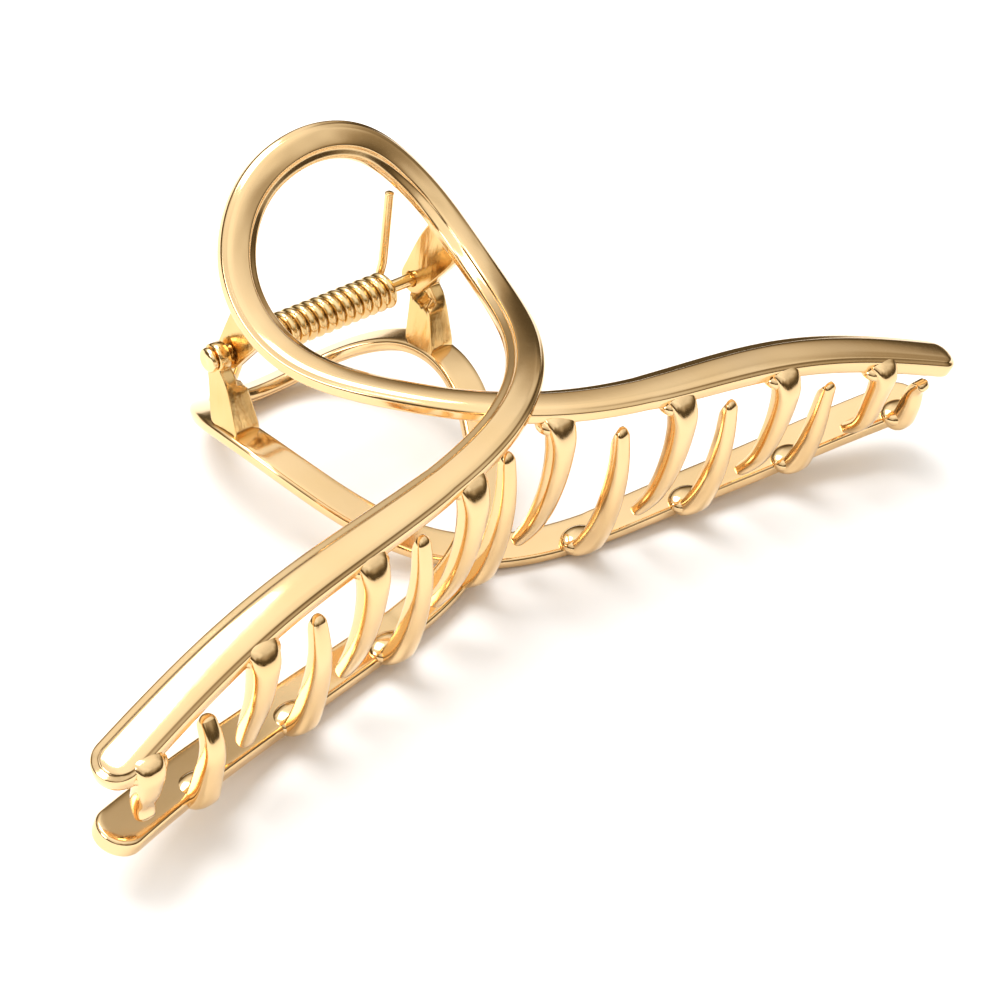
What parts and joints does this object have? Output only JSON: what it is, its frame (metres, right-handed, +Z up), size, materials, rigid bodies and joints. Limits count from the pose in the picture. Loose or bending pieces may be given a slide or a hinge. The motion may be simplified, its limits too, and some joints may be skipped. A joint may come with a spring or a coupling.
{
  "type": "claw hair clip",
  "caption": "Sprung metal claw clip for hair: toothed jaws that cross into finger loops, joined by a headed pin that carries a coiled torsion spring.",
  "frame": {"origin": "middle of the bounding box's bottom face, with the clip lying on its lower jaw", "axes": "+X along the hinge pin and the width of the jaws, the teeth towards -Y, the finger loops towards +Y, +Z up"},
  "size_m": [0.1076, 0.0534, 0.0366],
  "materials": {
    "jaw_plating": "polished pale gold plating on a zinc casting",
    "spring_wire": "bright gold-plated drawn steel wire",
    "pin_plating": "polished gold-plated steel"
  },
  "bodies": {
    "lower": {"lower_jaw": "jaw_plating", "hinge_pin": "pin_plating", "torsion_spring": "spring_wire"},
    "upper": {"upper_jaw": "jaw_plating"}
  },
  "joints": [
    {"name": "jaw_hinge", "type": "hinge", "parent": "lower", "child": "upper", "pos_m": [0, 0.01477, 0.01688], "axis": [-1, 0, 0], "range_deg": [0, 50], "stiffness_Nm_per_rad": 0.087, "springref_deg": -40.11, "deforming": ["torsion_spring"]}
  ]
}
